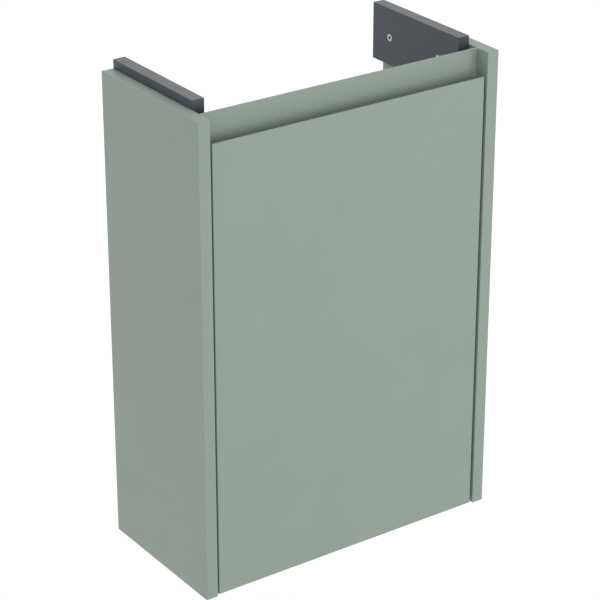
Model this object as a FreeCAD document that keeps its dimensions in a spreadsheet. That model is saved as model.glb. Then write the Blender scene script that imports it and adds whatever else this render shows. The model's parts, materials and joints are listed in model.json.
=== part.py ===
# Wall-hung vanity cabinet for a small basin: one inset door with a bevelled grip edge,
# open top and back, dark basin blocks at the top and adjustable wall hangers.
# Millimetres; +Z up, the door faces -Y, the origin is the middle of the footprint.
import FreeCAD, Part
import Sketcher
import os
import re

Vector = FreeCAD.Vector
Rotation = FreeCAD.Rotation

# Driving dimensions
SIZES = {
    "width": 420, "depth": 204, "height": 606, "board": 16, "panel_round": 0.8,
    "door_thick": 16, "door_gap": 3, "door_inset": 1.5, "door_lift": 1, "door_round": 1,
    "grip_drop": 30, "grip_land": 1.5, "grip_bevel": 28, "hinge_relief": 4, "stop_gap": 1.5,
    "rail_thick": 3, "rail_height": 80, "rail_rib_deep": 12, "rail_rib_thick": 2.5,
    "rail_channel": 11.5, "bracket_thick": 2.5, "bracket_tongue": 22, "bracket_foot": 40,
    "bracket_screw_front": 22, "bracket_screw_back": 34,
    "rear_rail_height": 80, "rear_cam_rise": 27, "rear_dowel_rise": 53,
    "wall_hole_radius": 4, "wall_hole_spacing": 256,
    "block_gap": 2, "block_height": 72, "block_thick": 16, "block_rise": 11, "block_round": 0.6,
    "block_screw_spacing": 96, "block_screw_shift": 2, "block_screw_rise": 35,
    "block_head_radius": 4.5, "block_head": 3, "block_drive_radius": 2.2, "block_drive_deep": 2.2,
    "shelf_thick": 16, "shelf_depth": 150, "shelf_back_gap": 14, "shelf_lift": 234,
    "shelf_end_gap": 1, "pin_radius": 2.5, "pin_inset": 30, "pin_pitch": 32, "pin_depth": 10,
    "pin_blade": 10, "pin_blade_width": 9, "pin_blade_thick": 2.5,
    "dowel_radius": 4, "dowel_length": 30, "dowel_in_side": 11,
    "dowel_front_inset": 20, "dowel_back_inset": 70, "cam_front_inset": 40, "cam_back_inset": 50,
    "cam_radius": 7.5, "cam_height": 12, "cam_reach": 30, "bolt_radius": 3, "bolt_in_side": 10,
    "cam_slot": 8.5, "cam_slot_width": 2, "cam_slot_deep": 2.5,
    "fit": 0.05, "slip": 0.3,
    "hinge_from_end": 100, "axis_in": 8, "front_skin": 3, "cup_radius": 17.5, "cup_land": 3,
    "cup_rim": 1, "cup_wall": 0.8, "cup_flange": 1.2, "cup_flange_half": 29,
    "cup_flange_width": 22, "cup_screw_half": 24, "cup_screw_offset": 6,
    "hinge_pin_radius": 1.4, "pin_bearing": 4, "eye_radius": 2.8, "eye_clear": 0.4, "neck_clear": 0.8,
    "neck_thick": 4.9, "root_back": 1.7, "arm_width": 12, "arm_thick": 5.5, "arm_length": 70,
    "arm_round": 2, "arm_screw_inset": 22, "plate_thick": 2.5, "plate_length": 50, "plate_width": 14,
    "plate_setback": 54.5, "wing_length": 16, "wing_half": 24, "wing_screw_half": 16,
    "catch_width": 14, "catch_length": 30, "catch_height": 40, "catch_rise": 60,
    "catch_screw_deep": 21, "catch_screw_half": 10, "magnet_width": 8, "magnet_inset": 4,
    "magnet_height": 28, "magnet_deep": 5, "magnet_proud": 0.6, "strike_thick": 1.2,
    "strike_width": 10, "strike_margin": 1, "soft_round": 1.5, "wing_round": 5,
    "bumper_radius": 4, "bumper_edge": 20, "bumper_rise": 13,
    "hanger_drop": 29, "hanger_height": 76, "hanger_plate": 2, "hanger_length": 64,
    "hanger_back_gap": 4, "flange_width": 24, "flange_length": 28, "screw_back_inset": 29,
    "screw_offset": 8, "hanger_hole_end": 9, "hanger_hole_front": 7, "hanger_hole_back": 5,
    "slider_height": 30, "slider_length": 34, "slider_width": 20, "slider_gap": 2,
    "height_screw_radius": 3, "height_head_radius": 5, "height_head": 5, "collar_radius": 4.4,
    "collar": 2, "hook_thick": 3, "hook_height": 14, "hook_offset": 15, "hook_tooth": 5,
    "hook_drop": 12, "hook_wall_gap": 5, "tab_thick": 3, "tab_width": 13, "tab_gap": 8,
    "depth_screw_radius": 2.5, "depth_screw_seat": 6, "depth_head_radius": 4.2, "depth_head": 4,
    "depth_front_room": 5, "cap_wall": 2, "cap_room": 3, "access_radius": 6, "height_travel": 8,
    "slot_width": 1.3, "height_slot": 6.5, "depth_slot": 5.4,
    "wood_screw_radius": 2, "wood_screw_length": 12, "wood_head_radius": 3.5,
    "wood_head": 1.6, "drive_radius": 1.3, "drive_deep": 1,
}

# Places and sizes worked out from the driving dimensions
DERIVED = {
    "front": "(-depth / 2)",
    "back": "(depth / 2)",
    "inner": "(width / 2 - board)",
    "setback": "(door_inset + door_thick + stop_gap)",
    "carcass_front": "(front + setback)",
    "door_front": "(front + door_inset)",
    "door_back": "(door_front + door_thick)",
    "door_half": "(inner - door_gap)",
    "door_top": "(height - grip_drop)",
    "grip_foot": "(door_top - grip_bevel)",
    "rail_foot": "(height - rail_height)",
    "rail_back": "(carcass_front + rail_thick)",
    "channel_foot": "(rail_foot + rail_rib_thick)",
    "channel_middle": "(channel_foot + rail_channel / 2)",
    "block_foot": "(height + block_rise - block_height)",
    "block_front": "(rail_back + rail_rib_deep + block_gap)",
    "block_screw_middle": "((block_front + back) / 2 + block_screw_shift)",
    "block_screw_level": "(block_foot + block_screw_rise)",
    "shelf_foot": "(board + shelf_lift)",
    "shelf_back": "(back - shelf_back_gap)",
    "shelf_front": "(shelf_back - shelf_depth)",
    "pin_level": "(shelf_foot - pin_blade_thick / 2)",
    "axis_deep": "(front_skin + cup_wall + eye_clear + eye_radius)",
    "axis_out": "(door_gap + axis_in)",
    "axis_x": "(inner - axis_out)",
    "axis_y": "(door_front + axis_deep)",
    "cup_x": "(door_half - cup_land - cup_radius)",
    "cup_floor": "(door_front + front_skin)",
    "cup_mouth": "(door_back + cup_flange)",
    "neck_radius": "(sqrt((axis_in - cup_land + cup_rim) ^ 2"
                   " + (door_thick - axis_deep + cup_flange) ^ 2) + neck_clear)",
    "neck_inner_x": "(axis_x - neck_radius)",
    "neck_outer_x": "(neck_inner_x - neck_thick)",
    "bend_front": "(axis_y + neck_radius)",
    "foot_front": "(bend_front + neck_thick)",
    "arm_face_x": "(inner - plate_thick)",
    "arm_top_x": "(arm_face_x - arm_thick)",
    "arm_end": "(foot_front + arm_length)",
    "plate_y": "(front + plate_setback)",
    "hinge_low": "(door_lift + hinge_from_end)",
    "hinge_high": "(door_top - hinge_from_end)",
    "catch_level": "((hinge_low + hinge_high) / 2 + catch_rise)",
    "catch_front": "(door_back + strike_thick + slip + magnet_proud)",
    "bumper_high": "(rail_foot + bumper_rise)",
    "bumper_low": "((board + door_lift) / 2)",
    "hanger_top": "(block_foot - hanger_drop)",
    "hanger_foot": "(hanger_top - hanger_height)",
    "hanger_level": "((hanger_top + hanger_foot) / 2)",
    "hanger_back": "(back - hanger_back_gap)",
    "hanger_front": "(hanger_back - hanger_length)",
    "screw_y": "(hanger_back - screw_back_inset)",
    "slider_in": "(hanger_plate + slider_gap)",
    "slider_front": "(screw_y - slider_length / 2)",
    "slider_foot": "(hanger_level - slider_height / 2)",
    "bore_in": "(slider_in + screw_offset)",
    "hook_in": "(slider_in + hook_offset)",
    "hook_foot": "(hanger_level - hook_height / 2)",
    "hook_back": "(back - hook_wall_gap)",
    "tab_front": "(slider_front - tab_gap - tab_thick)",
    "depth_head_front": "(tab_front - depth_front_room - depth_head)",
    "depth_in": "(hook_in - tab_width / 2)",
    "cap_deep": "(hanger_plate + flange_width + cap_wall)",
    "cap_front": "(depth_head_front - cap_room - cap_wall)",
    "cap_foot": "(hanger_foot - height_head - cap_room - cap_wall)",
    "cap_top": "(hanger_top + collar + cap_room + cap_wall)",
}

doc = FreeCAD.newDocument("vanity_cabinet")
sheet = doc.addObject("Spreadsheet::Sheet", "Sizes")
for row, (alias, number) in enumerate(SIZES.items(), start=1):
    sheet.set(f"A{row}", alias)
    sheet.set(f"B{row}", str(number))
    sheet.setAlias(f"B{row}", alias)
doc.recompute()


def formula(text):
    """A formula in plain words, written out as an expression on the sheet."""
    def word(match):
        name = match.group()
        if name in DERIVED:
            return formula(DERIVED[name])
        return f"Sizes.{name}" if name in SIZES else name
    return re.sub(r"[a-z_]+", word, str(text))


def number(text):
    return float(sheet.evalExpression(formula(text)))


def bind(item, prop, text):
    item.setExpression(prop, formula(text))


# Which way each axis name turns a shape that is made along +Z
TURNS = {
    "+z": Rotation(), "-z": Rotation(Vector(1, 0, 0), 180),
    "+x": Rotation(Vector(0, 1, 0), 90), "-x": Rotation(Vector(0, 1, 0), -90),
    "+y": Rotation(Vector(1, 0, 0), -90), "-y": Rotation(Vector(1, 0, 0), 90),
}
OPPOSITE = {"+x": "-x", "-x": "+x", "+y": "-y", "-y": "+y", "+z": "-z", "-z": "+z"}

# An edge nearer to a plane than this lies in it, and a shorter stretch along an axis is none
TOUCH = 0.01


def place(item, at, axis="+z"):
    item.Placement = FreeCAD.Placement(Vector(), TURNS[axis])
    for letter, text in zip("xyz", at):
        bind(item, f"Placement.Base.{letter}", text)
    return item


def box(label, size, corner):
    item = doc.addObject("Part::Box", label)
    for prop, text in zip(("Length", "Width", "Height"), size):
        bind(item, prop, text)
    return place(item, corner)


def cylinder(label, radius, length, start, axis="+z"):
    item = doc.addObject("Part::Cylinder", label)
    bind(item, "Radius", radius)
    bind(item, "Height", length)
    return place(item, start, axis)


def cone(label, near_radius, far_radius, length, start, axis):
    item = doc.addObject("Part::Cone", label)
    bind(item, "Radius1", near_radius)
    bind(item, "Radius2", far_radius)
    bind(item, "Height", length)
    return place(item, start, axis)


def cut(label, base, tools):
    item = doc.addObject("Part::Cut", label)
    item.Base = base
    item.Tool = tools[0] if len(tools) == 1 else fuse(f"{label}_cuts", tools)
    return item


def fuse(label, pieces):
    item = doc.addObject("Part::MultiFuse", label)
    item.Shapes = pieces
    return item


def group(label, pieces):
    item = doc.addObject("Part::Compound", label)
    item.Links = pieces
    return item


def profile(label, plane, points, length, offset):
    """A body padded from one closed outline, whose corners follow their formulas."""
    body = doc.addObject("PartDesign::Body", label)
    sketch = body.newObject("Sketcher::SketchObject", f"{label}_outline")
    role = f"{plane}_Plane"
    base = next(item for item in body.Origin.OriginFeatures if item.Role == role)
    sketch.AttachmentSupport = [(base, "")]
    sketch.MapMode = "FlatFace"
    corners = [Vector(number(across), number(up), 0) for across, up in points]
    for index, corner in enumerate(corners):
        following = corners[(index + 1) % len(corners)]
        sketch.addGeometry(Part.LineSegment(corner, following), False)
    for index, (across, up) in enumerate(points):
        previous = (index - 1) % len(points)
        sketch.addConstraint(Sketcher.Constraint("Coincident", previous, 2, index, 1))
        for kind, text, place_now in (("DistanceX", across, corners[index].x),
                                      ("DistanceY", up, corners[index].y)):
            name = f"{kind[-1].lower()}_{index}"
            rule = sketch.addConstraint(Sketcher.Constraint(kind, -1, 1, index, 1, place_now))
            sketch.renameConstraint(rule, name)
            bind(sketch, f"Constraints.{name}", text)
    pad = body.newObject("PartDesign::Pad", f"{label}_pad")
    pad.Profile = sketch
    bind(pad, "Length", length)
    body.Tip = pad
    normal = {"YZ": "x", "XZ": "y", "XY": "z"}[plane]
    bind(body, f"Placement.Base.{normal}", offset)
    doc.recompute()
    return body


def dress(body, kind, label, size, chosen):
    """Round or chamfer the edges of a body for which chosen(edge middle, edge) holds."""
    base = body.Tip
    names = [f"Edge{index}" for index, edge in enumerate(base.Shape.Edges, start=1)
             if chosen(edge.CenterOfMass, edge)]
    item = body.newObject(f"PartDesign::{kind}", label)
    item.Base = (base, names)
    bind(item, "Radius" if kind == "Fillet" else "Size", size)
    body.Tip = item
    doc.recompute()
    return body


def inward(side, near, far):
    """Lowest x of a stretch measured inwards from a side panel's inner face."""
    return f"inner - ({far})" if side > 0 else f"({near}) - inner"


def inside(side, distance):
    return f"inner - ({distance})" if side > 0 else f"({distance}) - inner"


def into_panel(side):
    return "+x" if side > 0 else "-x"


def out_of_panel(side):
    return OPPOSITE[into_panel(side)]


def shifted(spot, axis, distance):
    """A point moved along an axis."""
    moved = list(spot)
    letter = "xyz".index(axis[1])
    moved[letter] = f"{spot[letter]} {axis[0]} ({distance})"
    return moved


def hex_drive(label, face, axis, radius, deep):
    """Tool for the recess that is sunk along axis into a screw head's outer face."""
    item = doc.addObject("Part::Prism", label)
    item.Polygon = 6
    bind(item, "Circumradius", radius)
    bind(item, "Height", f"2 * ({deep})")
    return place(item, shifted(face, axis, deep), OPPOSITE[axis])


def cross_slot(label, face, axis, span, width="slot_width", deep="drive_deep"):
    """Tools for the crossed slots that are sunk along axis into a head's outer face."""
    bars = []
    for name, across, along in (("wide", span, width), ("tall", width, span)):
        lengths = [across, along]
        lengths.insert("xyz".index(axis[1]), f"2 * {deep}")
        corner = [f"{spot} - ({length}) / 2" for spot, length in zip(face, lengths)]
        bars.append(box(f"{label}_slot_{name}", lengths, corner))
    return bars


def screw(label, seat, axis, shank, length, head_radius, head):
    """Pan-headed screw: the head stands on its seat, the shank goes along axis."""
    stem = cylinder(f"{label}_stem", shank, length, seat, axis)
    cap = cylinder(f"{label}_head", head_radius, head, seat, OPPOSITE[axis])
    top = shifted(seat, OPPOSITE[axis], head)
    drive = hex_drive(f"{label}_drive", top, axis, "drive_radius", "drive_deep")
    return cut(label, fuse(f"{label}_blank", [stem, cap]), [drive])


def wood_screw(label, seat, axis):
    return screw(label, seat, axis, "wood_screw_radius", "wood_screw_length",
                 "wood_head_radius", "wood_head")


def pilot(label, seat, axis, length="wood_screw_length"):
    """Bore that a screw shank sits in."""
    return cylinder(label, "wood_screw_radius + fit", f"{length} + slip", seat, axis)


SIDES = {"left": -1, "right": 1}
HINGES = {"lower": "hinge_low", "upper": "hinge_high"}
nodes = []
panel_bores = {"left": [], "right": []}


def keep(item, label):
    item.Label = label
    nodes.append(item)
    return item


# Basin blocks: dark boards inside the panels that carry and locate the basin
def block_screw(label, seat, axis):
    """Countersunk screw, flush with the block's face."""
    stem = cylinder(f"{label}_stem", "wood_screw_radius", "block_thick + wood_screw_length", seat, axis)
    head = cone(f"{label}_head", "block_head_radius", "wood_screw_radius", "block_head", seat, axis)
    drive = hex_drive(f"{label}_drive", seat, axis, "block_drive_radius", "block_drive_deep")
    return cut(label, fuse(f"{label}_blank", [stem, head]), [drive])


def make_block(name, side):
    body = profile(f"block_{name}_blank", "YZ",
                   [("block_front", "block_foot"), ("back", "block_foot"),
                    ("back", "height + block_rise"), ("block_front", "height + block_rise")],
                   "block_thick", inward(side, "0", "block_thick"))
    dress(body, "Fillet", f"block_{name}_round", "block_round", lambda middle, edge: True)
    holes = []
    screws = []
    for end, sign in (("front", "-"), ("back", "+")):
        along = f"block_screw_middle {sign} block_screw_spacing / 2"
        seat = (inside(side, "block_thick"), along, "block_screw_level")
        label = f"block_screw_{name}_{end}"
        screws.append(block_screw(label, seat, into_panel(side)))
        holes.append(pilot(f"{label}_hole", seat, into_panel(side), "block_thick"))
        holes.append(cone(f"{label}_sink", "block_head_radius + fit", "wood_screw_radius + fit",
                          "block_head", seat, into_panel(side)))
        face = (inside(side, "0"), along, "block_screw_level")
        panel_bores[name].append(pilot(f"{label}_pilot", face, into_panel(side)))
    keep(cut(f"block_{name}_bored", body, holes), f"basin_block_{name}")
    return screws


block_screws = []
for name, side in SIDES.items():
    block_screws += make_block(name, side)
keep(group("block_screw_set", block_screws), "block_screws")


# Shelf on four spade pins, with spare pin holes above and below
SPARE_HOLES = 2
pins = []
for name, side in SIDES.items():
    for end, along in (("front", "shelf_front + pin_inset"), ("back", "shelf_back - pin_inset")):
        label = f"shelf_pin_{name}_{end}"
        face = (inside(side, "0"), along, "pin_level")
        stem = cylinder(f"{label}_stem", "pin_radius", "pin_depth", face, into_panel(side))
        blade = box(f"{label}_blade", ("pin_blade", "pin_blade_width", "pin_blade_thick"),
                    (inward(side, "0", "pin_blade"), f"{along} - pin_blade_width / 2",
                     "shelf_foot - pin_blade_thick"))
        pins.append(fuse(label, [stem, blade]))
        for step in range(-SPARE_HOLES, SPARE_HOLES + 1):
            level = f"pin_level + pin_pitch * ({step})"
            hole = cylinder(f"{label}_hole_{step + SPARE_HOLES}", "pin_radius + fit", "pin_depth + slip",
                            (face[0], along, level), into_panel(side))
            panel_bores[name].append(hole)
keep(group("shelf_pin_set", pins), "shelf_pins")
shelf = profile("shelf_blank", "YZ",
                [("shelf_front", "shelf_foot"), ("shelf_back", "shelf_foot"),
                 ("shelf_back", "shelf_foot + shelf_thick"),
                 ("shelf_front", "shelf_foot + shelf_thick")],
                "2 * (inner - shelf_end_gap)", "shelf_end_gap - inner")
dress(shelf, "Fillet", "shelf_round", "panel_round", lambda middle, edge: True)
keep(shelf, "shelf")


# Knock-down joints: dowels, cam bolts and cams that hold the boards to the panels
dowels = []
cam_bolts = []
cams = []
bottom_bores = []
rear_bores = []


def make_dowel(label, name, along, level, bores):
    side = SIDES[name]
    start = (inside(side, "-dowel_in_side"), along, level)
    dowels.append(cylinder(label, "dowel_radius", "dowel_length", start, out_of_panel(side)))
    hole = cylinder(f"{label}_hole", "dowel_radius + fit", "dowel_length + 2 * slip",
                    (inside(side, "-dowel_in_side - slip"), along, level), out_of_panel(side))
    panel_bores[name].append(hole)
    bores.append(hole)


def make_cam(label, name, along, level, cam_start, cam_axis, bores):
    side = SIDES[name]
    start = (inside(side, "-bolt_in_side"), along, level)
    cam_bolts.append(cylinder(f"{label}_bolt", "bolt_radius", "bolt_in_side + cam_reach",
                              start, out_of_panel(side)))
    hole = cylinder(f"{label}_bolt_hole", "bolt_radius + fit",
                    "bolt_in_side + cam_reach + 2 * slip",
                    (inside(side, "-bolt_in_side - slip"), along, level), out_of_panel(side))
    panel_bores[name].append(hole)
    disc = cylinder(f"{label}_disc", "cam_radius", "cam_height", cam_start, cam_axis)
    drive = cross_slot(label, cam_start, cam_axis, "cam_slot", "cam_slot_width", "cam_slot_deep")
    cams.append(cut(f"{label}_cam", disc, [hole] + drive))
    pocket = cylinder(f"{label}_pocket", "cam_radius + fit", "cam_height + slip",
                      cam_start, cam_axis)
    bores += [hole, pocket]


for name, side in SIDES.items():
    cam_x = inside(side, "cam_reach")
    for end, along in (("front", "carcass_front + cam_front_inset"),
                       ("back", "back - cam_back_inset")):
        make_cam(f"bottom_{name}_{end}", name, along, "board / 2",
                 (cam_x, along, "0"), "+z", bottom_bores)
    for end, along in (("front", "carcass_front + dowel_front_inset"),
                       ("back", "back - dowel_back_inset")):
        make_dowel(f"bottom_dowel_{name}_{end}", name, along, "board / 2", bottom_bores)
    make_cam(f"rear_{name}", name, "back - board / 2", "board + rear_cam_rise",
             (cam_x, "back - board", "board + rear_cam_rise"), "+y", rear_bores)
    make_dowel(f"rear_dowel_{name}", name, "back - board / 2",
               "board + rear_dowel_rise", rear_bores)
keep(group("dowel_set", dowels), "dowels")
keep(group("cam_bolt_set", cam_bolts), "cam_bolts")
keep(group("cam_set", cams), "cams")

bottom = profile("bottom_blank", "YZ",
                 [("carcass_front", "0"), ("back", "0"), ("back", "board"),
                  ("carcass_front", "board")], "2 * inner", "-inner")
keep(cut("bottom_bored", bottom, bottom_bores), "bottom_panel")

for name, sign in (("left", "-"), ("right", "+")):
    spot = (f"{sign}wall_hole_spacing / 2", "back - board - slip", "board + rear_rail_height / 2")
    rear_bores.append(cylinder(f"wall_hole_{name}", "wall_hole_radius", "board + 2 * slip",
                               spot, "+y"))
rear = profile("rear_rail_blank", "YZ",
               [("back - board", "board"), ("back", "board"),
                ("back", "board + rear_rail_height"), ("back - board", "board + rear_rail_height")],
               "2 * inner", "-inner")
keep(cut("rear_rail_bored", rear, rear_bores), "rear_rail")


# Grip rail: thin painted profile behind the door's grip edge, held in a bracket at each end
rail = profile("grip_rail_profile", "YZ",
               [("carcass_front", "rail_foot"), ("rail_back + rail_rib_deep", "rail_foot"),
                ("rail_back + rail_rib_deep", "channel_foot"), ("rail_back", "channel_foot"),
                ("rail_back", "channel_foot + rail_channel"),
                ("rail_back + rail_rib_deep", "channel_foot + rail_channel"),
                ("rail_back + rail_rib_deep", "channel_foot + rail_channel + rail_rib_thick"),
                ("rail_back", "channel_foot + rail_channel + rail_rib_thick"),
                ("rail_back", "height"), ("carcass_front", "height")],
               "2 * inner", "-inner")
top_level = number("height")
dress(rail, "Fillet", "grip_rail_round", "panel_round",
      lambda middle, edge: abs(middle.z - top_level) < TOUCH and abs(middle.x) < TOUCH)
keep(rail, "grip_rail")

bracket_screws = []
for name, side in SIDES.items():
    foot_z = "channel_foot + fit"
    tall = "rail_channel - 2 * fit"
    tongue = box(f"rail_bracket_{name}_tongue", ("bracket_tongue", "rail_rib_deep - slip", tall),
                 (inward(side, "0", "bracket_tongue"), "rail_back + fit", foot_z))
    foot = box(f"rail_bracket_{name}_foot", ("bracket_thick", "bracket_foot", tall),
               (inward(side, "0", "bracket_thick"), "rail_back + fit", foot_z))
    holes = []
    for end, distance in (("front", "bracket_screw_front"), ("back", "bracket_screw_back")):
        along = f"rail_back + {distance}"
        seat = (inside(side, "bracket_thick"), along, "channel_middle")
        face = (inside(side, "0"), along, "channel_middle")
        label = f"bracket_screw_{name}_{end}"
        bracket_screws.append(wood_screw(label, seat, into_panel(side)))
        holes.append(pilot(f"{label}_hole", seat, into_panel(side), "bracket_thick"))
        panel_bores[name].append(pilot(f"{label}_pilot", face, into_panel(side)))
    blank = fuse(f"rail_bracket_{name}_blank", [tongue, foot])
    keep(cut(f"rail_bracket_{name}_bored", blank, holes), f"rail_bracket_{name}")
keep(group("bracket_screw_set", bracket_screws), "rail_bracket_screws")


# Concealed hinges on the right: a cup in the door turns on a swan-neck arm
door_bores = []
cup_screws = []
plate_screws = []
arm_screws = []


def make_cup(name, level):
    barrel = cylinder(f"cup_{name}_barrel", "cup_radius - fit", "cup_mouth - cup_floor - fit",
                      ("cup_x", "cup_floor + fit", level), "+y")
    rim = cylinder(f"cup_{name}_rim", "cup_radius + cup_rim", "cup_flange",
                   ("cup_x", "door_back", level), "+y")
    wings = profile(f"cup_{name}_wings", "XZ",
                    [("cup_x - cup_flange_width / 2", f"{level} - cup_flange_half"),
                     ("cup_x + cup_flange_width / 2", f"{level} - cup_flange_half"),
                     ("cup_x + cup_flange_width / 2", f"{level} + cup_flange_half"),
                     ("cup_x - cup_flange_width / 2", f"{level} + cup_flange_half")],
                    "cup_flange", "cup_mouth")
    dress(wings, "Fillet", f"cup_{name}_wing_round", "wing_round",
          lambda middle, edge: edge.BoundBox.YLength > TOUCH)
    slot_half = "arm_width / 2 + slip"
    slot_in = "sqrt((neck_radius + neck_thick) ^ 2 + eye_radius ^ 2) + 2 * slip"
    slot = box(f"cup_{name}_slot",
               (f"{slot_in} + eye_radius + slip", "cup_mouth - cup_floor", f"2 * ({slot_half})"),
               (f"axis_x - ({slot_in})", "cup_floor + fit + cup_wall", f"{level} - ({slot_half})"))
    pin_half = "arm_width / 2 + pin_bearing"
    pin = cylinder(f"hinge_{name}_pin_rod", "hinge_pin_radius", f"2 * ({pin_half})",
                   ("axis_x", "axis_y", f"{level} - ({pin_half})"))
    pin_hole = cylinder(f"cup_{name}_pin_hole", "hinge_pin_radius + fit / 2",
                        f"2 * ({pin_half}) + 2 * fit",
                        ("axis_x", "axis_y", f"{level} - ({pin_half}) - fit"))
    holes = [slot, pin_hole]
    for end, sign in (("low", "-"), ("high", "+")):
        seat = ("cup_x - cup_screw_offset", "cup_mouth", f"{level} {sign} cup_screw_half")
        label = f"cup_screw_{name}_{end}"
        cup_screws.append(wood_screw(label, seat, "-y"))
        hole = pilot(f"{label}_hole", seat, "-y")
        holes.append(hole)
        door_bores.append(hole)
    blank = fuse(f"cup_{name}_blank", [barrel, rim, wings])
    keep(cut(f"cup_{name}_bored", blank, holes), f"hinge_{name}_cup")
    keep(pin, f"hinge_{name}_pin")
    door_bores.append(cylinder(f"cup_{name}_bore", "cup_radius", "door_thick",
                               ("cup_x", "cup_floor", level), "+y"))


def make_arm(name, level):
    outline = [("axis_x", "axis_y - eye_radius"), ("neck_outer_x", "axis_y - eye_radius"),
               ("neck_outer_x", "foot_front"), ("arm_top_x", "foot_front"),
               ("arm_top_x", "arm_end"), ("arm_face_x", "arm_end"),
               ("arm_face_x", "bend_front"), ("neck_inner_x", "bend_front"),
               ("neck_inner_x", "axis_y + root_back"), ("axis_x", "axis_y + root_back")]
    body = profile(f"arm_{name}_blank", "XY", outline, "arm_width", f"{level} - arm_width / 2")
    bends = [("neck_outer_x", "axis_y - eye_radius"), ("neck_outer_x", "foot_front"),
             ("neck_inner_x", "bend_front"), ("neck_inner_x", "axis_y + root_back"),
             ("arm_top_x", "foot_front"), ("arm_face_x", "bend_front")]
    spots = [(number(x), number(y)) for x, y in bends]

    def at_bend(middle, edge):
        upright = len(edge.Vertexes) == 2 and edge.BoundBox.ZLength > TOUCH
        return upright and any(abs(middle.x - x) < TOUCH and abs(middle.y - y) < TOUCH
                               for x, y in spots)
    dress(body, "Fillet", f"arm_{name}_round", "arm_round", at_bend)
    eye = cylinder(f"arm_{name}_eye", "eye_radius", "arm_width",
                   ("axis_x", "axis_y", f"{level} - arm_width / 2"))
    eye_bore = cylinder(f"arm_{name}_eye_bore", "hinge_pin_radius + fit", "arm_width + 2 * slip",
                        ("axis_x", "axis_y", f"{level} - arm_width / 2 - slip"))
    seat = ("arm_top_x", "arm_end - arm_screw_inset", level)
    holes = [eye_bore, cylinder(f"arm_screw_{name}_hole", "wood_screw_radius + fit",
                                "arm_thick + slip", seat, "+x")]
    arm_screws.append(screw(f"arm_screw_{name}", seat, "+x", "wood_screw_radius",
                            "arm_thick + plate_thick", "wood_head_radius", "wood_head"))
    keep(cut(f"arm_{name}_bored", fuse(f"arm_{name}_joined", [body, eye]), holes),
         f"hinge_{name}_arm")
    make_plate(name, level, seat)


def make_plate(name, level, arm_seat):
    strip = box(f"plate_{name}_strip", ("plate_thick", "plate_length", "plate_width"),
                ("arm_face_x", "arm_end - plate_length", f"{level} - plate_width / 2"))
    wings = box(f"plate_{name}_wings", ("plate_thick", "wing_length", "2 * wing_half"),
                ("arm_face_x", "plate_y - wing_length / 2", f"{level} - wing_half"))
    holes = [cylinder(f"plate_{name}_arm_hole", "wood_screw_radius + fit", "plate_thick + slip",
                      ("arm_face_x", arm_seat[1], level), "+x")]
    for end, sign in (("low", "-"), ("high", "+")):
        height = f"{level} {sign} wing_screw_half"
        seat = ("arm_face_x", "plate_y", height)
        label = f"plate_screw_{name}_{end}"
        plate_screws.append(wood_screw(label, seat, "+x"))
        holes.append(pilot(f"{label}_hole", seat, "+x", "plate_thick"))
        panel_bores["right"].append(pilot(f"{label}_pilot", ("inner", "plate_y", height), "+x"))
    blank = fuse(f"plate_{name}_blank", [strip, wings])
    keep(cut(f"plate_{name}_bored", blank, holes), f"hinge_{name}_plate")


for name, level in HINGES.items():
    make_cup(name, level)
    make_arm(name, level)
keep(group("cup_screw_set", cup_screws), "hinge_cup_screws")
keep(group("plate_screw_set", plate_screws), "hinge_plate_screws")
keep(group("arm_screw_set", arm_screws), "hinge_arm_screws")


# Magnet catch on the left panel and its strike on the door
catch_x = inward(-1, "0", "catch_width")
housing = profile("catch_block", "YZ",
                  [("catch_front", "catch_level - catch_height / 2"),
                   ("catch_front + catch_length", "catch_level - catch_height / 2"),
                   ("catch_front + catch_length", "catch_level + catch_height / 2"),
                   ("catch_front", "catch_level + catch_height / 2")],
                  "catch_width", catch_x)
panel_face = number("-inner")
dress(housing, "Fillet", "catch_round", "soft_round",
      lambda middle, edge: middle.x > panel_face + TOUCH)
magnet_x = inward(-1, "magnet_inset", "magnet_inset + magnet_width")
magnet = box("catch_magnet_bar", ("magnet_width", "magnet_deep + magnet_proud", "magnet_height"),
             (magnet_x, "catch_front - magnet_proud", "catch_level - magnet_height / 2"))
magnet_pocket = box("catch_pocket",
                    ("magnet_width + 2 * fit", "magnet_deep + magnet_proud + fit",
                     "magnet_height + 2 * fit"),
                    (f"{magnet_x} - fit", "catch_front - magnet_proud",
                     "catch_level - magnet_height / 2 - fit"))
catch_screws = []
catch_holes = [magnet_pocket]
for end, sign in (("low", "-"), ("high", "+")):
    along = "catch_front + catch_screw_deep"
    level = f"catch_level {sign} catch_screw_half"
    seat = (inside(-1, "catch_width"), along, level)
    label = f"catch_screw_{end}"
    catch_screws.append(screw(label, seat, "-x", "wood_screw_radius",
                              "catch_width + wood_screw_length", "wood_head_radius", "wood_head"))
    catch_holes.append(pilot(f"{label}_hole", seat, "-x", "catch_width"))
    panel_bores["left"].append(pilot(f"{label}_pilot", (inside(-1, "0"), along, level), "-x"))
keep(cut("catch_bored", housing, catch_holes), "catch_housing")
keep(magnet, "catch_magnet")
keep(group("catch_screw_set", catch_screws), "catch_screws")

strike_x = f"{magnet_x} + (magnet_width - strike_width) / 2"
strike_seat = (f"{strike_x} + strike_width / 2", "door_back + strike_thick",
               "catch_level - catch_height / 2 - wood_head_radius - strike_margin")
strike_foot = f"{strike_seat[2]} - wood_head_radius - strike_margin"
strike = box("strike_blank", ("strike_width", "strike_thick",
                              f"catch_level + magnet_height / 2 - ({strike_foot})"),
             (strike_x, "door_back", strike_foot))
strike_hole = pilot("strike_screw_hole", strike_seat, "-y")
door_bores.append(strike_hole)
keep(cut("strike_bored", strike, [strike_hole]), "strike_plate")
keep(wood_screw("strike_screw_blank", strike_seat, "-y"), "strike_screw")

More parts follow.
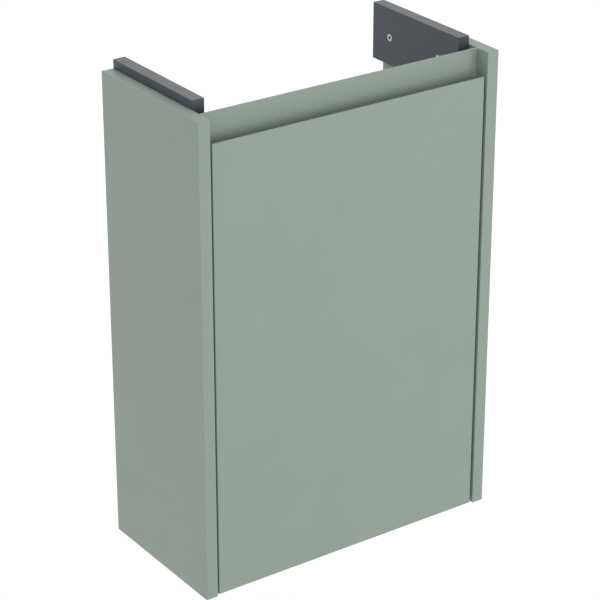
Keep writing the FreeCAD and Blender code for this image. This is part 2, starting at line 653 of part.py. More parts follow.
bumpers = [cylinder(f"bumper_{end}", "bumper_radius", "stop_gap - slip",
                    ("bumper_edge - door_half", "door_back", level), "+y")
           for end, level in (("low", "bumper_low"), ("high", "bumper_high"))]
keep(group("bumper_set", bumpers), "door_bumpers")


# Door: rounded front, grip bevel along the top, relieved back edges at both sides
door = profile("door_blank", "YZ",
               [("door_front", "door_lift"), ("door_back", "door_lift"),
                ("door_back", "grip_foot"),
                ("door_front + grip_land", "door_top"), ("door_front", "door_top")],
               "2 * door_half", "-door_half")
face_y = number("door_front")
back_y = number("door_back")
dress(door, "Fillet", "door_front_round", "door_round",
      lambda middle, edge: abs(middle.y - face_y) < TOUCH)
dress(door, "Chamfer", "door_back_relief", "hinge_relief",
      lambda middle, edge: abs(middle.y - back_y) < TOUCH and edge.BoundBox.ZLength > TOUCH)
keep(cut("door_bored", door, door_bores), "door_panel")


# Wall hangers: a hook that a height screw and a depth screw adjust inside each panel
hanger_screws = []


def make_hanger(name, side):
    turn_x = inside(side, "bore_in")
    plate = box(f"hanger_{name}_plate", ("hanger_plate", "hanger_length", "hanger_height"),
                (inward(side, "0", "hanger_plate"), "hanger_front", "hanger_foot"))
    flanges = [box(f"hanger_{name}_flange_{end}", ("flange_width", "flange_length", "hanger_plate"),
                   (inward(side, "hanger_plate", "hanger_plate + flange_width"),
                    "screw_y - flange_length / 2", level))
               for end, level in (("low", "hanger_foot"), ("high", "hanger_top - hanger_plate"))]
    holes = [cylinder(f"hanger_{name}_bore", "height_screw_radius + fit", "hanger_height + 2 * slip",
                      (turn_x, "screw_y", "hanger_foot - slip"))]
    for end, along in (("front", "hanger_front + hanger_hole_front"),
                       ("back", "hanger_back - hanger_hole_back")):
        for tier, level in (("low", "hanger_foot + hanger_hole_end"),
                            ("high", "hanger_top - hanger_hole_end")):
            label = f"hanger_screw_{name}_{end}_{tier}"
            seat = (inside(side, "hanger_plate"), along, level)
            hanger_screws.append(wood_screw(label, seat, into_panel(side)))
            holes.append(pilot(f"{label}_hole", seat, into_panel(side), "hanger_plate"))
            panel_bores[name].append(pilot(f"{label}_pilot", (inside(side, "0"), along, level),
                                           into_panel(side)))
    blank = fuse(f"hanger_{name}_blank", [plate] + flanges)
    keep(cut(f"hanger_{name}_bored", blank, holes), f"hanger_{name}_housing")

    stem = cylinder(f"height_screw_{name}_stem", "height_screw_radius",
                    "hanger_height + slip + collar + slip",
                    (turn_x, "screw_y", "hanger_foot - slip"))
    head = cylinder(f"height_screw_{name}_head", "height_head_radius", "height_head",
                    (turn_x, "screw_y", "hanger_foot - slip"), "-z")
    collar = cylinder(f"height_screw_{name}_collar", "collar_radius", "collar",
                      (turn_x, "screw_y", "hanger_top + slip"))
    cross = cross_slot(f"height_screw_{name}", (turn_x, "screw_y", "hanger_foot - slip - height_head"),
                       "+z", "height_slot")
    keep(cut(f"height_screw_{name}_slotted", fuse(f"height_screw_{name}_blank", [stem, head, collar]),
             cross), f"hanger_{name}_height_screw")
    make_slider(name, side, turn_x)
    make_hook(name, side)
    make_cap(name, side, turn_x)


def make_slider(name, side, turn_x):
    block = box(f"slider_{name}_block", ("slider_width", "slider_length", "slider_height"),
                (inward(side, "slider_in", "slider_in + slider_width"), "slider_front", "slider_foot"))
    bore = cylinder(f"slider_{name}_bore", "height_screw_radius + fit", "slider_height + 2 * slip",
                    (turn_x, "screw_y", "slider_foot - slip"))
    guide = box(f"slider_{name}_guide",
                ("hook_thick + 2 * slip", "slider_length + 2 * slip", "hook_height + 2 * slip"),
                (inward(side, "hook_in - slip", "hook_in + hook_thick + slip"),
                 "slider_front - slip", "hook_foot - slip"))
    seat = cylinder(f"slider_{name}_seat", "depth_screw_radius + fit", "depth_screw_seat + slip",
                    (inside(side, "depth_in"), "slider_front", "hanger_level"), "+y")
    keep(cut(f"slider_{name}_bored", block, [bore, guide, seat]), f"hanger_{name}_slider")


def make_hook(name, side):
    low_x = inward(side, "hook_in", "hook_in + hook_thick")
    bar = profile(f"hook_{name}_bar", "YZ",
                  [("tab_front", "hook_foot"), ("hook_back - hook_tooth", "hook_foot"),
                   ("hook_back - hook_tooth", "hook_foot - hook_drop"),
                   ("hook_back", "hook_foot - hook_drop"), ("hook_back", "hook_foot + hook_height"),
                   ("tab_front", "hook_foot + hook_height")], "hook_thick", low_x)
    tab = box(f"hook_{name}_tab", ("tab_width", "tab_thick", "hook_height"),
              (inward(side, "hook_in - tab_width", "hook_in"), "tab_front", "hook_foot"))
    turn = (inside(side, "depth_in"), "tab_front", "hanger_level")
    bore = cylinder(f"hook_{name}_bore", "depth_screw_radius + fit", "tab_thick + 2 * slip",
                    (turn[0], "tab_front - slip", turn[2]), "+y")
    keep(cut(f"hook_{name}_bored", fuse(f"hook_{name}_blank", [bar, tab]), [bore]),
         f"hanger_{name}_hook")
    head_back = "depth_head_front + depth_head"
    stem = cylinder(f"depth_screw_{name}_stem", "depth_screw_radius",
                    f"slider_front + depth_screw_seat - ({head_back})",
                    (turn[0], head_back, turn[2]), "+y")
    head = cylinder(f"depth_screw_{name}_head", "depth_head_radius", "depth_head",
                    (turn[0], head_back, turn[2]), "-y")
    cross = cross_slot(f"depth_screw_{name}", (turn[0], "depth_head_front", turn[2]),
                       "+y", "depth_slot")
    keep(cut(f"depth_screw_{name}_slotted", fuse(f"depth_screw_{name}_blank", [stem, head]), cross),
         f"hanger_{name}_depth_screw")


def make_cap(name, side, turn_x):
    shell = profile(f"cap_{name}_shell", "YZ",
                    [("cap_front", "cap_foot"), ("hanger_back", "cap_foot"),
                     ("hanger_back", "cap_top"), ("cap_front", "cap_top")],
                    "cap_deep", inward(side, "0", "cap_deep"))
    panel_face = number(inside(side, "0"))
    open_back = number("hanger_back")
    dress(shell, "Fillet", f"cap_{name}_round", "soft_round",
          lambda middle, edge: abs(middle.x - panel_face) > TOUCH and middle.y < open_back - TOUCH)
    room = box(f"cap_{name}_room", ("cap_deep", "hanger_back - cap_front",
                                    "cap_top - cap_foot - 2 * cap_wall"),
               (inward(side, "-cap_wall", "cap_deep - cap_wall"), "cap_front + cap_wall",
                "cap_foot + cap_wall"))
    low = cylinder(f"cap_{name}_low_hole", "access_radius", "3 * cap_wall",
                   (turn_x, "screw_y", "cap_foot - cap_wall"))
    access_x = inside(side, "depth_in")
    fore = [cylinder(f"cap_{name}_slot_{end}", "access_radius", "3 * cap_wall",
                     (access_x, "cap_front - cap_wall", f"hanger_level {sign} height_travel"), "+y")
            for end, sign in (("low", "-"), ("high", "+"))]
    fore.append(box(f"cap_{name}_slot", ("2 * access_radius", "3 * cap_wall", "2 * height_travel"),
                    (f"{access_x} - access_radius", "cap_front - cap_wall",
                     "hanger_level - height_travel")))
    keep(cut(f"cap_{name}_hollow", shell, [room, low] + fore), f"hanger_{name}_cap")


for name, side in SIDES.items():
    make_hanger(name, side)
keep(group("hanger_screw_set", hanger_screws), "hanger_screws")


# Side panels, drilled for everything that they carry
for name, side in SIDES.items():
    outer_x = "inner" if side > 0 else "-width / 2"
    panel = profile(f"side_{name}_blank", "YZ",
                    [("front", "0"), ("back", "0"), ("back", "height"), ("front", "height")],
                    "board", outer_x)
    dress(panel, "Fillet", f"side_{name}_round", "panel_round", lambda middle, edge: True)
    keep(cut(f"side_{name}_bored", panel, panel_bores[name]), f"side_panel_{name}")


doc.recompute()
faults = [item.Label for item in doc.Objects if {"Invalid", "Error"} & set(item.State)]
faults += [item.Label for item in nodes if item.Shape.isNull() or not item.Shape.isValid()]
if faults:
    raise RuntimeError("failed: " + ", ".join(faults))

os.makedirs("parts", exist_ok=True)
for item in nodes:
    item.Shape.exportStep(f"parts/{item.Label}.step")
    print(f"{item.Label}: {len(item.Shape.Solids)} solids, {item.Shape.Volume / 1000:.2f} cm3")
print(len(nodes), "nodes")
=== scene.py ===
# Looks of the wall-hung vanity cabinet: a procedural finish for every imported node,
# the camera at the photograph's angle, and a white studio. Metres, in the part's own frame.
import bmesh
import bpy
import json
import math
from dataclasses import dataclass
from mathutils import Matrix, Vector
from mathutils.geometry import tessellate_polygon

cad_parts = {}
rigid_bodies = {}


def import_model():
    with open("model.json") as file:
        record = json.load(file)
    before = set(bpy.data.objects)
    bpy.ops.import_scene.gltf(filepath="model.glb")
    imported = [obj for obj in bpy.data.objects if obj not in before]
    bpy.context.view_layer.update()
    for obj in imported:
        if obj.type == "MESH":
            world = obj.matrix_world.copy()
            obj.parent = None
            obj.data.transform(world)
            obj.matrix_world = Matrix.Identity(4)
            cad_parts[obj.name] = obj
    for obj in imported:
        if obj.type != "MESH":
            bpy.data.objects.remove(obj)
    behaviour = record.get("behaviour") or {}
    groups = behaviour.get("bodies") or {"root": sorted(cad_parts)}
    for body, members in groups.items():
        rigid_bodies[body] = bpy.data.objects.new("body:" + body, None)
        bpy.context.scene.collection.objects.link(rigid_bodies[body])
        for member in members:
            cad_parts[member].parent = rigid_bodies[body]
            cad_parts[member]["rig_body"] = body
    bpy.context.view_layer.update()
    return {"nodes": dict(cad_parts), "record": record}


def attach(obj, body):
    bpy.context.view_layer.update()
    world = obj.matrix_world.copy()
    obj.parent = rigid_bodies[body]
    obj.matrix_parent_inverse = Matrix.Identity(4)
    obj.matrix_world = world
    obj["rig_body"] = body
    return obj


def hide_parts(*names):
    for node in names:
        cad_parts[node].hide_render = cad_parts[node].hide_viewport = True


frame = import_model()

# Colours as linear light
SAGE = (0.288, 0.352, 0.303)
ANTHRACITE = (0.063, 0.077, 0.095)
# Painted light: a lighter anthracite for faces that look up, standing in for the light on the top faces
ANTHRACITE_PAINTED_TOP_LIGHT = (0.124, 0.134, 0.142)
ZINC = (0.66, 0.68, 0.71)
NICKEL = (0.68, 0.65, 0.60)
CAST_ZINC = (0.42, 0.42, 0.44)
LIGHT_GREY = (0.56, 0.57, 0.57)
DULL_ZINC = (0.44, 0.45, 0.48)
# Painted shade: the dark colour put into the block screws' sockets
SOCKET_PAINTED_SHADE = (0.17, 0.175, 0.188)
FERRITE = (0.035, 0.035, 0.038)
RUBBER = (0.78, 0.79, 0.77)
BEECH = (0.56, 0.38, 0.22)
BEECH_FLECK = (0.36, 0.21, 0.11)
WHITE = (1.0, 1.0, 1.0)
FLOOR_GREY = (0.88, 0.88, 0.88)

# Gloss of the paints and the board, and the soft bumpers' clearness
PAINT_GLOSS = 0.42
BOARD_GLOSS = 0.34
RUBBER_CLEARNESS = 0.35
RUBBER_IOR = 1.43

# Most of a noise lies between these two
NOISE_LOW = 0.3
NOISE_HIGH = 0.7

# Camera and studio
PHOTO_PIXELS = 600
FOCAL_PIXELS = 2354.5
PHOTO_CENTRE = (299.1, 293.1)
CAMERA_PLACE = (-1.4889, -2.1195, 1.5074)
CAMERA_TURN = 35.0
CAMERA_TILT = 24.84
FLOOR_DROP = 0.25
FLOOR_HALF = 8.0
DOME_STRENGTH = 0.78
FLOOR_GLOW = 1 - FLOOR_GREY[0] * DOME_STRENGTH  # the open floor then shows white
LAMP_AIM = (0.0, 0.0, 0.3)
LAMPS = {  # place, width and watts
    "key": ((1.2, -3.0, 0.5), 2.2, 22),
    "top": ((0.4, 1.4, 2.8), 2.0, 9),
}

# The painted shade in the block screws' sockets begins just behind the flush heads, this far from the
# middle plane
SOCKET_START = 0.1782
SOCKET_END = 0.1784

# Scale of a pattern along x, y and z that draws it out into lines
UPRIGHT_LINES = (1, 1, 0.1)
CROSSWISE_LINES = (0.06, 1, 1)


class Finish:
    """One material: a Principled shader whose colour, roughness and bump come from noise."""

    def __init__(self, name, colour, roughness, metallic=0.0):
        self.material = bpy.data.materials.new(name)
        self.material.use_nodes = True
        self.nodes = self.material.node_tree.nodes
        self.links = self.material.node_tree.links
        self.shader = self.nodes["Principled BSDF"]
        self.coordinates = self.nodes.new("ShaderNodeTexCoord")
        self.height = None
        self.colour = None
        self.set("Base Color", (*colour, 1.0))
        self.set("Roughness", roughness)
        self.set("Metallic", metallic)

    def set(self, socket, value):
        """One value all over the surface."""
        self.shader.inputs[socket].default_value = value

    def join(self, output, node, socket):
        self.links.new(output, node.inputs[socket])

    def stretched(self, stretch):
        """Object coordinates, squeezed or drawn out along the axes."""
        mapping = self.nodes.new("ShaderNodeMapping")
        mapping.inputs["Scale"].default_value = stretch
        self.join(self.coordinates.outputs["Object"], mapping, "Vector")
        return mapping.outputs["Vector"]

    def noise(self, grain, detail=2.0, stretch=(1, 1, 1)):
        """Noise whose features are about grain metres across."""
        texture = self.nodes.new("ShaderNodeTexNoise")
        texture.inputs["Scale"].default_value = 1 / grain
        texture.inputs["Detail"].default_value = detail
        self.join(self.stretched(stretch), texture, "Vector")
        return texture.outputs["Fac"]

    def cells(self, grain):
        """Rounded cells about grain metres across."""
        texture = self.nodes.new("ShaderNodeTexVoronoi")
        texture.feature = "SMOOTH_F1"
        texture.inputs["Scale"].default_value = 1 / grain
        self.join(self.stretched((1, 1, 1)), texture, "Vector")
        return texture.outputs["Distance"]

    def span(self, value, low, high, start=NOISE_LOW, end=NOISE_HIGH):
        """The value from start to end, mapped to run from low to high."""
        node = self.nodes.new("ShaderNodeMapRange")
        node.inputs["From Min"].default_value = start
        node.inputs["From Max"].default_value = end
        node.inputs["To Min"].default_value = low
        node.inputs["To Max"].default_value = high
        self.join(value, node, "Value")
        return node.outputs["Result"]

    def blend(self, share, first, second):
        """A colour between two, each of them a colour or another node's output."""
        node = self.nodes.new("ShaderNodeMix")
        node.data_type = "RGBA"
        self.join(share, node, "Factor")
        for socket, colour in (("A", first), ("B", second)):
            spot = next(item for item in node.inputs if item.name == socket and item.type == "RGBA")
            if isinstance(colour, tuple):
                spot.default_value = (*colour, 1.0)
            else:
                self.links.new(colour, spot)
        return next(item for item in node.outputs if item.type == "RGBA")

    def mottle(self, value, colour, spread):
        """Lighten and darken the colour a little, following the value."""
        dark = tuple(part * (1 - spread) for part in colour)
        light = tuple(part * (1 + spread) for part in colour)
        return self.blend(self.span(value, 0, 1), dark, light)

    def facing_up(self):
        """One on faces that look up, nought on the others."""
        normal = self.nodes.new("ShaderNodeSeparateXYZ")
        self.join(self.coordinates.outputs["Normal"], normal, "Vector")
        return self.span(normal.outputs["Z"], 0, 1)

    def beyond(self, start, end):
        """Nought up to start metres from the middle plane, one from end on."""
        place = self.nodes.new("ShaderNodeSeparateXYZ")
        self.join(self.coordinates.outputs["Object"], place, "Vector")
        distance = self.nodes.new("ShaderNodeMath")
        distance.operation = "ABSOLUTE"
        self.join(place.outputs["X"], distance, "Value")
        return self.span(distance.outputs["Value"], 0, 1, start, end)

    def paint(self, colour_output):
        """Let a node's colour be the surface's colour."""
        self.colour = colour_output
        self.join(colour_output, self.shader, "Base Color")

    def sheen_varies(self, value, low, high):
        """Let the roughness run from low to high, following the value."""
        self.join(self.span(value, low, high), self.shader, "Roughness")

    def bump(self, value, depth, strength=1.0):
        """Raise the surface by up to depth metres; several calls stack."""
        node = self.nodes.new("ShaderNodeBump")
        node.inputs["Strength"].default_value = strength
        node.inputs["Distance"].default_value = depth
        self.join(value, node, "Height")
        if self.height is not None:
            self.join(self.height, node, "Normal")
        self.height = node.outputs["Normal"]
        self.join(self.height, self.shader, "Normal")


def sage_lacquer():
    """Matt lacquer on board: faint orange peel, a soft cloudy tone."""
    finish = Finish("sage_lacquer", SAGE, roughness=0.46)
    finish.set("Specular IOR Level", PAINT_GLOSS)
    finish.paint(finish.mottle(finish.noise(grain=0.09, detail=3), SAGE, spread=0.012))
    finish.sheen_varies(finish.noise(grain=0.02, detail=3), low=0.43, high=0.5)
    finish.bump(finish.noise(grain=0.0022, detail=1), depth=0.00002)
    finish.bump(finish.noise(grain=0.0005, detail=2), depth=0.000006)
    return finish.material


def sage_paint():
    """Powder coat on metal: a finer and slightly deeper texture than the lacquer."""
    finish = Finish("sage_paint", SAGE, roughness=0.5)
    finish.set("Specular IOR Level", PAINT_GLOSS)
    finish.paint(finish.mottle(finish.noise(grain=0.06, detail=2), SAGE, spread=0.012))
    finish.sheen_varies(finish.noise(grain=0.01, detail=2), low=0.47, high=0.55)
    finish.bump(finish.cells(grain=0.0009), depth=0.00002)
    return finish.material


def anthracite_board():
    """Melamine with a fine pebble; faces that look up are painted a shade lighter, a painted highlight
    for the light falling on the top.
    """
    finish = Finish("anthracite_board", ANTHRACITE, roughness=0.42)
    finish.set("Specular IOR Level", BOARD_GLOSS)
    face = finish.mottle(finish.noise(grain=0.004, detail=3), ANTHRACITE, spread=0.06)
    # Painted highlight: faces that look up take the lighter colour, as if lit from above
    finish.paint(finish.blend(finish.facing_up(), face, ANTHRACITE_PAINTED_TOP_LIGHT))
    finish.sheen_varies(finish.noise(grain=0.0015, detail=2), low=0.38, high=0.48)
    finish.bump(finish.cells(grain=0.0011), depth=0.00004, strength=0.6)
    return finish.material


def plated(name, colour, roughness):
    """Plated steel: thin drawn lines and a sheen that varies along them."""
    finish = Finish(name, colour, roughness, metallic=1.0)
    lines = finish.noise(grain=0.0008, detail=2, stretch=UPRIGHT_LINES)
    finish.paint(finish.mottle(finish.noise(grain=0.006, detail=2), colour, spread=0.03))
    finish.sheen_varies(lines, low=roughness - 0.03, high=roughness + 0.05)
    finish.bump(lines, depth=0.000002)
    return finish


def socket_screw():
    """Zinc-plated head whose deep socket is painted dark: painted shade in the recess."""
    finish = plated("socket_screw", DULL_ZINC, roughness=0.36)
    # Painted shade: the socket beyond SOCKET_START takes a dark colour
    finish.paint(finish.blend(finish.beyond(SOCKET_START, SOCKET_END), finish.colour, SOCKET_PAINTED_SHADE))
    return finish.material


def zinc_casting():
    """Die-cast zinc: grainy, and duller than plate."""
    finish = Finish("zinc_casting", CAST_ZINC, roughness=0.5, metallic=1.0)
    finish.paint(finish.mottle(finish.noise(grain=0.002, detail=4), CAST_ZINC, spread=0.12))
    finish.sheen_varies(finish.noise(grain=0.001, detail=2), low=0.42, high=0.6)
    finish.bump(finish.cells(grain=0.0007), depth=0.00004)
    return finish.material


def grey_plastic():
    """Moulded plastic with a spark-eroded texture."""
    finish = Finish("grey_plastic", LIGHT_GREY, roughness=0.55)
    finish.paint(finish.mottle(finish.noise(grain=0.03, detail=2), LIGHT_GREY, spread=0.015))
    finish.sheen_varies(finish.noise(grain=0.002, detail=2), low=0.5, high=0.62)
    finish.bump(finish.noise(grain=0.0006, detail=3), depth=0.00004, strength=0.7)
    return finish.material


def magnet():
    """Ground ferrite: dark, with grinding lines along its length."""
    finish = Finish("magnet", FERRITE, roughness=0.55)
    lines = finish.noise(grain=0.0006, detail=2, stretch=UPRIGHT_LINES)
    finish.paint(finish.mottle(lines, FERRITE, spread=0.25))
    finish.sheen_varies(lines, low=0.45, high=0.65)
    finish.bump(lines, depth=0.00002)
    return finish.material


def clear_rubber():
    """Soft translucent bumper."""
    finish = Finish("clear_rubber", RUBBER, roughness=0.35)
    finish.set("Transmission Weight", RUBBER_CLEARNESS)
    finish.set("IOR", RUBBER_IOR)
    finish.paint(finish.mottle(finish.noise(grain=0.002, detail=2), RUBBER, spread=0.04))
    finish.bump(finish.noise(grain=0.001, detail=2), depth=0.00003)
    return finish.material


def beech():
    """Raw dowel: fine grain along the dowel with short dark flecks."""
    finish = Finish("beech", BEECH, roughness=0.65)
    grain = finish.noise(grain=0.0012, detail=4, stretch=CROSSWISE_LINES)
    finish.paint(finish.blend(finish.span(grain, 0, 1), BEECH_FLECK, BEECH))
    finish.bump(grain, depth=0.00008)
    return finish.material


SLOT_FINISHES = {
    "sage_lacquer": sage_lacquer(),
    "sage_paint": sage_paint(),
    "anthracite_board": anthracite_board(),
    "zinc_steel": plated("zinc_steel", ZINC, roughness=0.3).material,
    "nickel_steel": plated("nickel_steel", NICKEL, roughness=0.26).material,
    "zinc_casting": zinc_casting(),
    "grey_plastic": grey_plastic(),
    "magnet": magnet(),
    "clear_rubber": clear_rubber(),
    "beech": beech(),
}
NODE_FINISHES = {"block_screws": socket_screw()}
NODE_SLOTS = {part["node"]: part["material_slot"] for part in frame["record"]["subparts"]}


def dress_nodes():
    """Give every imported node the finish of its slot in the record, or its own."""
    for name, node in frame["nodes"].items():
        finish = NODE_FINISHES.get(name, SLOT_FINISHES[NODE_SLOTS[name]])
        node.data.materials.clear()
        node.data.materials.append(finish)


# Screws with a cut thread and a crossed recess, in the room of the part's plain ones
SEGMENTS = 24
THREAD_PROFILE = ((0, 0), (0.125, 0), (0.4375, 1), (0.6875, 1))  # share of a turn, of the groove
BLUNT_TIP = 0.12
CROSS_DRAFT = 0.8
SLOT_TURN = math.radians(137.5)
SHARP_ANGLE = math.radians(40)
WELD = 1e-6


@dataclass
class ScrewKind:
    """Points are (radius, level); levels count from the head's outer face, in the tail from the end."""
    head: tuple
    cross: tuple  # span, width and depth
    shank: float
    pitch: float
    groove: float
    tip: float = 0
    unthreaded: float = 0
    tail: tuple = ()


PAN_HEAD = ((0.0024, 0), (0.003, 0.0002), (0.0034, 0.0007), (0.0035, 0.0011), (0.0035, 0.0016),
            (0.002, 0.0016), (0.002, 0.0026))
PAN_CROSS = (0.0036, 0.0009, 0.0011)
WOOD_SCREW = ScrewKind(PAN_HEAD, PAN_CROSS, shank=0.002, pitch=0.0016, groove=0.0007, tip=0.003)
ARM_SCREW = ScrewKind(PAN_HEAD, PAN_CROSS, shank=0.002, pitch=0.0007, groove=0.0004,
                      unthreaded=0.0004, tail=((0.0017, 0),))
HEIGHT_SCREW = ScrewKind(
    ((0.0046, 0), (0.005, 0.0004), (0.005, 0.0047), (0.0047, 0.005), (0.003, 0.005), (0.003, 0.0093)),
    (0.0065, 0.0013, 0.0016), shank=0.003, pitch=0.001, groove=0.0006, unthreaded=0.0063,
    tail=((0.003, -0.002), (0.0041, -0.002), (0.0044, -0.0017), (0.0044, -0.0003), (0.0041, 0)))
DEPTH_SCREW = ScrewKind(
    ((0.0038, 0), (0.0042, 0.0004), (0.0042, 0.0037), (0.0039, 0.004), (0.0025, 0.004), (0.0025, 0.0045)),
    (0.0054, 0.0012, 0.0014), shank=0.0025, pitch=0.0008, groove=0.00048, unthreaded=0.0065,
    tail=((0.0025, -0.0004), (0.0021, 0)))
SCREWS = {
    "catch_screws": WOOD_SCREW, "hanger_screws": WOOD_SCREW, "hinge_cup_screws": WOOD_SCREW,
    "hinge_plate_screws": WOOD_SCREW, "rail_bracket_screws": WOOD_SCREW, "strike_screw": WOOD_SCREW,
    "hinge_arm_screws": ARM_SCREW,
    "hanger_left_height_screw": HEIGHT_SCREW, "hanger_right_height_screw": HEIGHT_SCREW,
    "hanger_left_depth_screw": DEPTH_SCREW, "hanger_right_depth_screw": DEPTH_SCREW,
}


class Screw:
    """One closed screw along +z, from the middle of its head's outer face to its end."""

    def __init__(self, kind, length):
        self.kind = kind
        self.length = length
        self.mesh = bmesh.new()
        self.ring = self.circle(*kind.head[0])
        self.sink_cross()
        self.turn(kind.head[1:])
        self.cut_thread(kind.head[-1][1], length - kind.unthreaded)
        self.turn([(radius, length + level) for radius, level in kind.tail])
        self.mesh.faces.new(self.ring)
        bmesh.ops.remove_doubles(self.mesh, verts=self.mesh.verts, dist=WELD)
        bmesh.ops.recalc_face_normals(self.mesh, faces=self.mesh.faces)

    def vertex(self, index, radius, level):
        angle = 2 * math.pi * index / SEGMENTS
        return self.mesh.verts.new((radius * math.cos(angle), radius * math.sin(angle), level))

    def circle(self, radius, level):
        return [self.vertex(index, radius, level) for index in range(SEGMENTS)]

    def bridge(self, first, second):
        """A band of faces between two closed loops."""
        for index in range(len(first)):
            self.mesh.faces.new((first[index - 1], first[index], second[index], second[index - 1]))

    def turn(self, outline):
        """Carry the last circle on through the outline's points."""
        for point in outline:
            following = self.circle(*point)
            self.bridge(self.ring, following)
            self.ring = following

    def cross(self, span, width, level):
        """The outline of two crossed bars."""
        reach, half = span / 2, width / 2
        corners = []
        for along, across in ((1, 0), (0, 1), (-1, 0), (0, -1)):
            for out, side in ((reach, -half), (reach, half), (half, half)):
                place = (out * along - side * across, out * across + side * along, level)
                corners.append(self.mesh.verts.new(place))
        return corners

    def sink_cross(self):
        """The head's outer face, with a recess whose walls draw in a little."""
        span, width, deep = self.kind.cross
        rim = self.cross(span, width, 0)
        base = self.cross(span * CROSS_DRAFT, width * CROSS_DRAFT, deep)
        self.bridge(rim, base)
        self.mesh.faces.new(base)
        corners = self.ring + rim
        outlines = [[vertex.co for vertex in loop] for loop in (self.ring, rim)]
        for triangle in tessellate_polygon(outlines):
            self.mesh.faces.new([corners[corner] for corner in triangle])

    def shank_share(self, level):
        """How much of its full radius the shank has here: less towards a pointed end."""
        if not self.kind.tip:
            return 1
        return min(1, max(BLUNT_TIP, (self.length - level) / self.kind.tip))

    def cut_thread(self, start, end):
        """A helical grid; rows beyond its ends fall together there and are welded."""
        kind = self.kind
        rows = []
        for lap in range(-1, math.ceil((end - start) / kind.pitch) + 2):
            for phase, deep in THREAD_PROFILE:
                rows.append([])
                for index in range(SEGMENTS):
                    level = start + kind.pitch * (lap + phase + index / SEGMENTS)
                    groove = kind.groove * deep if start < level < end else 0
                    level = min(max(level, start), end)
                    radius = (kind.shank - groove) * self.shank_share(level)
                    rows[-1].append(self.vertex(index, radius, level))
        lap_rows = len(THREAD_PROFILE)
        joined = [row + rows[number + lap_rows][:1] for number, row in enumerate(rows[:-lap_rows])]
        for lower, upper in zip(joined, joined[1:]):
            for index in range(SEGMENTS):
                self.mesh.faces.new((lower[index], lower[index + 1], upper[index + 1], upper[index]))
        self.ring = self.circle(kind.shank * self.shank_share(end), end)


def solids_of(node):
    """The corner points of each separate solid of a node."""
    mesh = bmesh.new()
    mesh.from_mesh(frame["nodes"][node].data)
    bmesh.ops.remove_doubles(mesh, verts=mesh.verts, dist=WELD)
    seen = set()
    for first in mesh.verts:
        if first in seen:
            continue
        seen.add(first)
        joined = [first]
        for vertex in joined:
            for edge in vertex.link_edges:
                other = edge.other_vert(vertex)
                if other not in seen:
                    seen.add(other)
                    joined.append(other)
        yield [vertex.co.copy() for vertex in joined]
    mesh.free()


def screw_place(points):
    """A screw's length, and the turn and shift that put +z along it from its head's face."""
    low = Vector([min(values) for values in zip(*points)])
    high = Vector([max(values) for values in zip(*points)])
    face = (low + high) / 2
    length = max(high - low)
    letter = list(high - low).index(length)
    lead = Vector([float(index == letter) for index in range(3)])
    rim = max(points, key=lambda point: (point - face).cross(lead).length)
    if rim[letter] > face[letter]:
        lead.negate()
    face -= lead * length / 2
    turn = Vector((0, 0, 1)).rotation_difference(lead).to_matrix().to_4x4()
    return length, Matrix.Translation(face) @ turn


def make_screws(node, kind):
    """One piece for all the screws of a node, each with its recess turned its own way."""
    mesh = bpy.data.meshes.new(f"threaded_{node}")
    whole = bmesh.new()
    for number, points in enumerate(solids_of(node)):
        length, place = screw_place(points)
        screw = Screw(kind, length).mesh
        screw.transform(place @ Matrix.Rotation(number * SLOT_TURN, 4, "Z"))
        screw.to_mesh(mesh)
        screw.free()
        whole.from_mesh(mesh)
    whole.to_mesh(mesh)
    whole.free()
    mesh.shade_smooth()
    mesh.set_sharp_from_angle(angle=SHARP_ANGLE)
    mesh.materials.append(SLOT_FINISHES[NODE_SLOTS[node]])
    piece = bpy.data.objects.new(mesh.name, mesh)
    bpy.context.collection.objects.link(piece)
    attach(piece, frame["nodes"][node]["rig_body"])
    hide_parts(node)


def seen_rays(tree):
    """One for rays that show the background itself, nought for those that light the object."""
    path = tree.nodes.new("ShaderNodeLightPath")
    total = path.outputs["Is Camera Ray"]
    for ray in ("Is Glossy Ray", "Is Transmission Ray"):
        either = tree.nodes.new("ShaderNodeMath")
        either.operation = "MAXIMUM"
        tree.links.new(total, either.inputs[0])
        tree.links.new(path.outputs[ray], either.inputs[1])
        total = either.outputs["Value"]
    return total


def make_dome():
    """White all round: strength 1 where it is seen, a little less where it lights."""
    world = bpy.data.worlds.new("studio")
    world.use_nodes = True
    tree = world.node_tree
    light = tree.nodes["Background"]
    light.inputs["Color"].default_value = (*WHITE, 1.0)
    light.inputs["Strength"].default_value = DOME_STRENGTH
    shown = tree.nodes.new("ShaderNodeBackground")
    shown.inputs["Color"].default_value = (*WHITE, 1.0)
    mix = tree.nodes.new("ShaderNodeMixShader")
    tree.links.new(seen_rays(tree), mix.inputs["Fac"])
    tree.links.new(light.outputs["Background"], mix.inputs[1])
    tree.links.new(shown.outputs["Background"], mix.inputs[2])
    tree.links.new(mix.outputs["Shader"], tree.nodes["World Output"].inputs["Surface"])
    bpy.context.scene.world = world


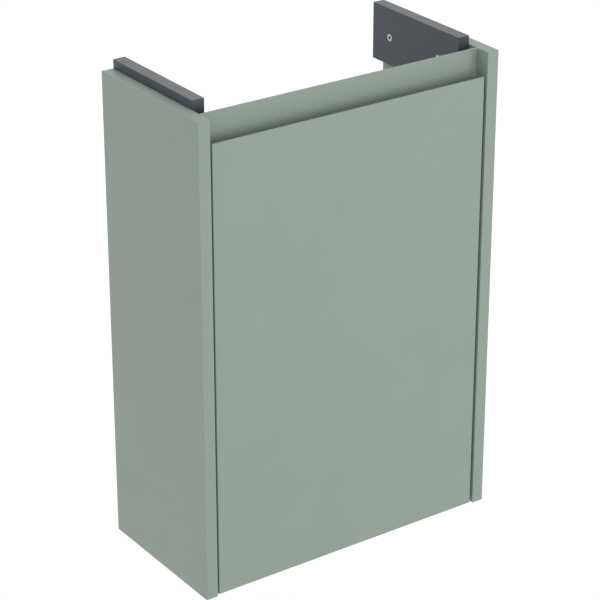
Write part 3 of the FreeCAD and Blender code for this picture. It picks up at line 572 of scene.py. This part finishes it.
def floor_material():
    """Pale matt floor that shows white where no shadow falls."""
    material = bpy.data.materials.new("studio_floor")
    material.use_nodes = True
    tree = material.node_tree
    tree.nodes.remove(tree.nodes["Principled BSDF"])
    matt = tree.nodes.new("ShaderNodeBsdfDiffuse")
    matt.inputs["Color"].default_value = (*FLOOR_GREY, 1.0)
    glow = tree.nodes.new("ShaderNodeEmission")
    glow.inputs["Color"].default_value = (*WHITE, 1.0)
    glow.inputs["Strength"].default_value = FLOOR_GLOW
    both = tree.nodes.new("ShaderNodeAddShader")
    tree.links.new(matt.outputs["BSDF"], both.inputs[0])
    tree.links.new(glow.outputs["Emission"], both.inputs[1])
    mix = tree.nodes.new("ShaderNodeMixShader")
    tree.links.new(seen_rays(tree), mix.inputs["Fac"])
    tree.links.new(matt.outputs["BSDF"], mix.inputs[1])
    tree.links.new(both.outputs["Shader"], mix.inputs[2])
    tree.links.new(mix.outputs["Shader"], tree.nodes["Material Output"].inputs["Surface"])
    return material


def make_floor():
    """The cabinet hangs on a wall, so the floor is a little below it."""
    mesh = bpy.data.meshes.new("studio_floor")
    corners = [(-FLOOR_HALF, -FLOOR_HALF), (FLOOR_HALF, -FLOOR_HALF),
               (FLOOR_HALF, FLOOR_HALF), (-FLOOR_HALF, FLOOR_HALF)]
    mesh.from_pydata([(x, y, -FLOOR_DROP) for x, y in corners], [], [(0, 1, 2, 3)])
    floor = bpy.data.objects.new("studio_floor", mesh)
    bpy.context.collection.objects.link(floor)
    floor.data.materials.append(floor_material())


def make_lamps():
    """Large soft lamps: the key in front on the right, and a weak one overhead."""
    for name, (place, width, watts) in LAMPS.items():
        light = bpy.data.lights.new(name, "AREA")
        light.shape = "DISK"
        light.size = width
        light.energy = watts
        lamp = bpy.data.objects.new(name, light)
        bpy.context.collection.objects.link(lamp)
        lamp.location = place
        aim = Vector(LAMP_AIM) - Vector(place)
        lamp.rotation_euler = aim.to_track_quat("-Z", "Y").to_euler()


def make_camera():
    """The camera that was fitted to the photograph's straight edges."""
    camera = bpy.data.cameras.new("camera")
    camera.sensor_fit = "HORIZONTAL"
    camera.lens = camera.sensor_width * FOCAL_PIXELS / PHOTO_PIXELS
    camera.shift_x = 0.5 - PHOTO_CENTRE[0] / PHOTO_PIXELS
    camera.shift_y = PHOTO_CENTRE[1] / PHOTO_PIXELS - 0.5
    viewer = bpy.data.objects.new("camera", camera)
    bpy.context.collection.objects.link(viewer)
    viewer.location = CAMERA_PLACE
    viewer.rotation_euler = (math.radians(90 - CAMERA_TILT), 0, math.radians(-CAMERA_TURN))
    bpy.context.scene.camera = viewer


dress_nodes()
for node, kind in SCREWS.items():
    make_screws(node, kind)
make_dome()
make_floor()
make_lamps()
make_camera()
bpy.context.scene.view_settings.view_transform = "Standard"
